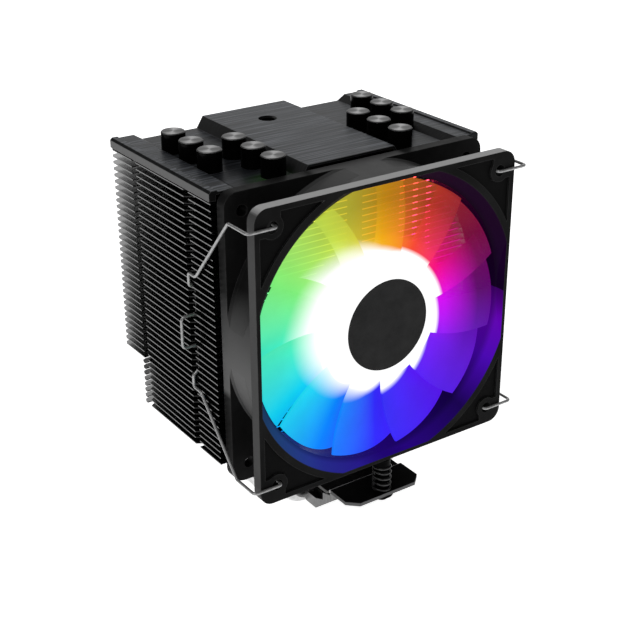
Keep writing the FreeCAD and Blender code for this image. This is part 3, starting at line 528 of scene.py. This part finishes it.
# painted light: the sideways-facing lips, and the sharp edges, are painted a lighter grey
LIP_SIDEWAYS, LIP_LIGHT_TONE = (0.8, 0.97), 0.10
PLATE_EDGE = 0.0004
SPILL_X, SPILL_REACH = -0.033, (0.011, 0.002)
SPILL_DEPTH = (-0.008, -0.020)
SPILL_GREEN = (0.25, 1.0, 0.1)


def top_plate_look():
    """Black anodised sheet brushed along X: lips and sharp edges painted lighter as highlight,
    valleys and slopes painted darker as shade, and some green light spilt on it, painted as a
    glow.
    """
    look = Look("top_plate_brushed", metal=0.3, rough=0.4, specular=0.03, glow=0.03)
    lines = look.noise(look.coords(BRUSHING), 1.0, detail=5.0, rough=0.7)
    tone = look.ramp(lines, BRUSH_TONES)
    x, y, height = look.split(look.coords())
    facing_x, _, facing_z = look.facing()
    # painted shade in the valleys
    tone = look.mix(look.level(height, *VALLEY_HEIGHT), tone, grey(VALLEY_SHADE_TONE))
    # painted shade on the slopes
    tone = look.mix(look.level(facing_z, *SLOPE_UP), tone, grey(SLOPE_SHADE_TONE))
    # painted light on the lips
    tone = look.mix(look.level(look.size_of(facing_x), *LIP_SIDEWAYS), tone, grey(LIP_LIGHT_TONE))
    # painted highlight along the sharp edges, in the lips' lighter grey
    look.wire(look.mix(look.edges(PLATE_EDGE), tone, grey(LIP_LIGHT_TONE)), "Base Color")
    look.wire(look.level(lines, *BRUSH_ROUGH), "Roughness")
    look.bump(lines, strength=0.3, distance=0.00003, radius=0.0003)
    spill = look.both(look.level(look.gap(x, SPILL_X), *SPILL_REACH),
                      look.level(y, *SPILL_DEPTH))
    look.wire(look.mix(spill, grey(0.0), SPILL_GREEN), "Emission Color")
    return look


FIN_MOTTLE = 120.0
FIN_TONES = (0.15, 0.18)
# painted shade: upright faces other than the side edges (front and back edges, groove walls) are
# painted dark
FIN_EDGE_UPRIGHT, FIN_EDGE_SHADE_TONE = (0.3, 0.5), 0.02
FIN_SIDEWAYS, FIN_SIDE_TONE = (0.93, 0.97), 0.145
# painted shade: the topmost sheet, under the top plate, is painted dark and not metallic
TOPMOST_HEIGHT, TOPMOST_SHADE_TONE = (0.14370, 0.14375), 0.004
FIN_ROUGH = (0.16, 0.26)
FIN_LIT_AWAY = (0.0590, 0.0575, 0.0, 1.6)
# the fan's light painted as a glow on the fins' front edges, doubled in brighter dash marks, in
# three upright rows
DASH_X, DASH_HALF_PITCH, DASH_HALF = 0.0245, 0.0034, (0.0014, 0.0010)
DASH_FROM, DASH_TO = (0.0225, 0.0230), (0.0400, 0.0395, 0.0, 6.0)


def fin_look():
    """Dark plated sheet: side edges sheared bright, front edges and groove walls painted dark as
    shade, the topmost sheet painted dark as shade, and front edges that catch the fan's light,
    painted as a glow.
    """
    look = Look("fin_plated", rough=0.2, specular=0.0, glow=1.0)
    facing_x, facing_y, _ = look.facing()
    _, _, height = look.split(look.coords())
    mottle = look.noise(look.coords(), FIN_MOTTLE)
    coat = look.blend_tones(mottle, *map(grey, FIN_TONES))
    sideways = look.size_of(facing_x)
    upright = look.maths("MAXIMUM", sideways, look.size_of(facing_y))
    # painted shade on the upright faces, then the side edges get their own tone back
    tone = look.mix(look.level(upright, *FIN_EDGE_UPRIGHT), coat, grey(FIN_EDGE_SHADE_TONE))
    # painted shade on the topmost sheet
    tone = look.mix(look.level(height, *TOPMOST_HEIGHT), tone, grey(TOPMOST_SHADE_TONE))
    tone = look.mix(look.level(sideways, *FIN_SIDEWAYS), tone, grey(FIN_SIDE_TONE))
    look.wire(tone, "Base Color")
    look.wire(look.level(height, *TOPMOST_HEIGHT, 1.0, 0.0), "Metallic")
    patches = look.noise(look.coords((1, 40, 1)), 60.0)
    look.wire(look.level(patches, *NOISE_MIDDLE, *FIN_ROUGH), "Roughness")
    look.bump(mottle, strength=0.1, distance=0.00002)

    # the fan's light on the front edges, painted as a glow
    share, away, across, _ = around_fan(look)
    lit = look.both(look.level(facing_y, *FORWARD), look.level(away, *FIN_LIT_AWAY))
    comb = look.maths("PINGPONG", look.maths("SUBTRACT", across, DASH_X), DASH_HALF_PITCH)
    glow_dashes = look.both(look.level(comb, *DASH_HALF), look.level(across, *DASH_FROM),
                       look.level(across, *DASH_TO))
    lit = look.both(lit, look.maths("ADD", glow_dashes, 1.0))
    look.wire(look.dim(rainbow(look, share, 1.0), lit), "Emission Color")
    return look


# ---------------------------------------------------------------- caps, clips and crossbar
CAP_END_UP = (0.6, 0.75)
CAP_MIDDLE = (-0.5, -0.5, 0.0)
CAP_RINGS = 190.0
CAP_SILVER = (0.10, 0.17)
# painted highlight: the two bright lobes of a cross-shaped glint on a turned end: radians to their
# middle, then fall-off and brightness
PAINTED_GLINT_TURN, PAINTED_GLINT = 0.6, (-0.2, 1.0, 0.55, 1.5)
CAP_BARREL = (0.0008, 0.002)
CAP_ROUGH = (0.2, 0.34)


def cap_look():
    """Black anodised barrel with a bright, finely turned end that carries a painted cross-shaped
    glint.
    """
    look = Look("cap_turned", rough=0.3, aniso=0.85, specular=0.05)
    _, _, up = look.facing()
    end = look.level(up, *CAP_END_UP)
    centre = look.add("Mapping")
    centre.inputs["Location"].default_value = CAP_MIDDLE
    look.join(look.add("TexCoord").outputs["Generated"], centre.inputs["Vector"])
    x, y, _ = look.split(centre.outputs["Vector"])
    rings = look.maths("SINE", look.maths("MULTIPLY", look.length(x, y), CAP_RINGS))
    # painted highlight: a cross-shaped glint painted into the silver end
    turn = look.maths("SUBTRACT", look.maths("ARCTAN2", y, x), PAINTED_GLINT_TURN)
    painted_glints = look.maths("COSINE", look.maths("MULTIPLY", turn, 2.0))
    silver = look.ramp(look.level(rings, -1.0, 1.0), list(enumerate(map(grey, CAP_SILVER))))
    silver = look.dim(silver, look.level(painted_glints, *PAINTED_GLINT))
    drawn = look.noise(look.coords((1, 1, 30)), 60.0)
    barrel = look.blend_tones(drawn, *map(grey, CAP_BARREL))
    look.wire(look.mix(end, barrel, silver), "Base Color")
    look.wire(end, "Metallic")
    look.wire(look.level(end, 0.0, 1.0, *CAP_ROUGH), "Roughness")
    look.join(look.add("Tangent", direction_type="RADIAL", axis="Z").outputs["Tangent"],
              look.shader.inputs["Tangent"])
    look.bump(rings, strength=0.15, distance=0.00001, radius=0.0002)
    return look


WIRE_METAL = 0.7
# painted shade: the wire is painted dark where it lies in the fins' groove
GROOVE_SHADE_X = (0.0618, 0.0612)
GROOVE_SHADE_Y = (-0.012, -0.009)
GROOVE_SHADE_TONE = 0.004


def clip_look():
    """Bright drawn spring wire, with painted shade along the stretch that lies in the fins'
    groove.
    """
    look = metal("spring_wire", grey(0.24), grey(0.38), rough=0.34, scale=900.0)
    look.shader.inputs["Metallic"].default_value = WIRE_METAL
    x, y, _ = look.split(look.coords())
    # painted shade in the groove
    groove_shade = look.both(look.level(look.size_of(x), *GROOVE_SHADE_X), look.level(y, *GROOVE_SHADE_Y))
    look.wire(look.mix(groove_shade, look.wired("Base Color"), grey(GROOVE_SHADE_TONE)), "Base Color")
    return look


BAR_EDGE_UP, BAR_EDGE_TONE = (0.3, 0.1), 0.12
# painted highlight: a bright line along each bent step, where it catches the light
BEND_Y, BEND_HIGHLIGHT_WIDTH, BEND_HIGHLIGHT_TONE = 0.0342, (0.0004, 0.0002), 0.7


def bar_look():
    """Black coated steel bar: bare, brighter sheared edges and a painted highlight line along each
    bent step.
    """
    look = moulded_plastic("bar_coat", grey(0.001), grey(0.002), rough=0.4,
                           grain=FINE_PLASTIC_GRAIN, specular=0.02)
    _, _, facing_z = look.facing()
    upright = look.level(look.size_of(facing_z), *BAR_EDGE_UP)
    _, along, _ = look.split(look.coords())
    # painted highlight along each bent step
    bend_highlight = look.level(look.gap(look.size_of(along), BEND_Y), *BEND_HIGHLIGHT_WIDTH)
    tone = look.mix(upright, look.wired("Base Color"), grey(BAR_EDGE_TONE))
    look.wire(look.mix(bend_highlight, tone, grey(BEND_HIGHLIGHT_TONE)), "Base Color")
    return look


# ---------------------------------------------------------------- the two coil springs
SPRING_ENDS = [("front", -0.045), ("rear", 0.045)]
COIL_WIRE = 0.45 * MM
WIRE_RESOLUTION = 3
COIL_TURNS = 4.0
COIL_CLOSED = 0.75
COIL_START = 200.0
COIL_STEPS = 32


def tube(name, spots, radius):
    """A smooth round wire through the given spots, as a mesh."""
    curve = bpy.data.curves.new(name, "CURVE")
    curve.dimensions = "3D"
    curve.bevel_depth = radius
    curve.bevel_resolution = WIRE_RESOLUTION
    curve.use_fill_caps = True
    spline = curve.splines.new("POLY")
    spline.points.add(len(spots) - 1)
    for point, spot in zip(spline.points, spots):
        point.co = (*spot, 1.0)
    holder = bpy.data.objects.new(name + "_curve", curve)
    bpy.context.scene.collection.objects.link(holder)
    bpy.context.view_layer.update()
    graph = bpy.context.evaluated_depsgraph_get()
    mesh = bpy.data.meshes.new_from_object(holder.evaluated_get(graph))
    bpy.data.objects.remove(holder)
    mesh.name = name
    for face in mesh.polygons:
        face.use_smooth = True
    made = bpy.data.objects.new(name, mesh)
    bpy.context.scene.collection.objects.link(made)
    return made


def coil_spring(end, centre_y, look):
    """The sprung screw's left-handed coil, smoother than the CAD's."""
    low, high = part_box(end + "_spring")
    coil = (high[0] - low[0]) / 2 - COIL_WIRE
    tall = high[2] - low[2]
    spots = []
    for step in range(int((COIL_TURNS + 2 * COIL_CLOSED) * COIL_STEPS) + 1):
        along = step / COIL_STEPS
        climb = min(max(along - COIL_CLOSED, 0.0), COIL_TURNS) / COIL_TURNS
        angle = math.radians(COIL_START - 360.0 * along)
        spots.append((coil * math.cos(angle), centre_y + coil * math.sin(angle),
                      low[2] + COIL_WIRE + (tall - 2 * COIL_WIRE) * climb))
    spring = tube(end + "_coil", spots, COIL_WIRE)
    spring.data.materials.append(look.mat)
    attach(spring, "heatsink")
    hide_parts(end + "_spring")
    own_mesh(spring)


# ---------------------------------------------------------------- make the scene
add_world()
add_camera()
add_floor()
for name, place, size, watts in LIGHTS:
    add_light(name, place, size, watts)

CAPS = [name for name in NODES if name.startswith("cap_")]
PIPES = [name for name in NODES if name.startswith("heat_pipe_")]
COIL = metal("spring_dark", grey(0.04), grey(0.08), rough=0.3, scale=700.0)
SCREW = moulded_plastic("screw_black", grey(0.001), grey(0.002), rough=0.35,
                        grain=FINE_PLASTIC_GRAIN, specular=0.02)
FILM = moulded_plastic("hub_label_film", grey(0.002), grey(0.004), rough=0.6, grain=5000.0)
NICKEL = metal("pipe_nickel", grey(0.48), grey(0.66), rough=0.2, scale=300.0)
BASE = metal("base_aluminium", grey(0.16), grey(0.24), rough=0.3, streak=(8, 1, 1), scale=160.0)
STEEL = metal("motor_steel", grey(0.3), grey(0.42), rough=0.4)
FERRITE = metal("ferrite", grey(0.05), grey(0.08), rough=0.6)
COPPER = metal("copper_wire", (0.5, 0.22, 0.1), (0.75, 0.38, 0.2), rough=0.3,
               streak=(1, 30, 1), scale=60.0)
BRASS = metal("bearing_brass", (0.55, 0.4, 0.18), (0.72, 0.56, 0.28), rough=0.35)
BOARD = moulded_plastic("board_green", (0.01, 0.06, 0.02), (0.02, 0.1, 0.035), rough=0.4)
LENS = moulded_plastic("led_lens", grey(0.6), grey(0.7), rough=0.2)

dress(rotor_look(), "rotor")
dress(frame_look(), "fan_frame")
dress(FILM, "hub_label", "rear_label")
dress(top_plate_look(), "top_plate")
dress(fin_look(), "fins_lower", "fins_upper")
dress(cap_look(), *CAPS)
dress(NICKEL, *PIPES)
dress(BASE, "base_block")
dress(bar_look(), "crossbar")
dress(SCREW, "front_spring_screw", "rear_spring_screw", "front_retaining_ring",
      "rear_retaining_ring")
dress(COIL, "crossbar_screws")
dress(clip_look(), "left_fan_clip", "right_fan_clip")
dress(STEEL, "rotor_yoke", "stator_core", "shaft_clip", "rotor_shaft")
dress(FERRITE, "magnet_ring")
dress(COPPER, "coils")
dress(BRASS, "bearing_tube", "sleeve_bearing")
dress(BOARD, "driver_board")
dress(LENS, "hub_leds")
for end, centre_y in SPRING_ENDS:
    coil_spring(end, centre_y, COIL)
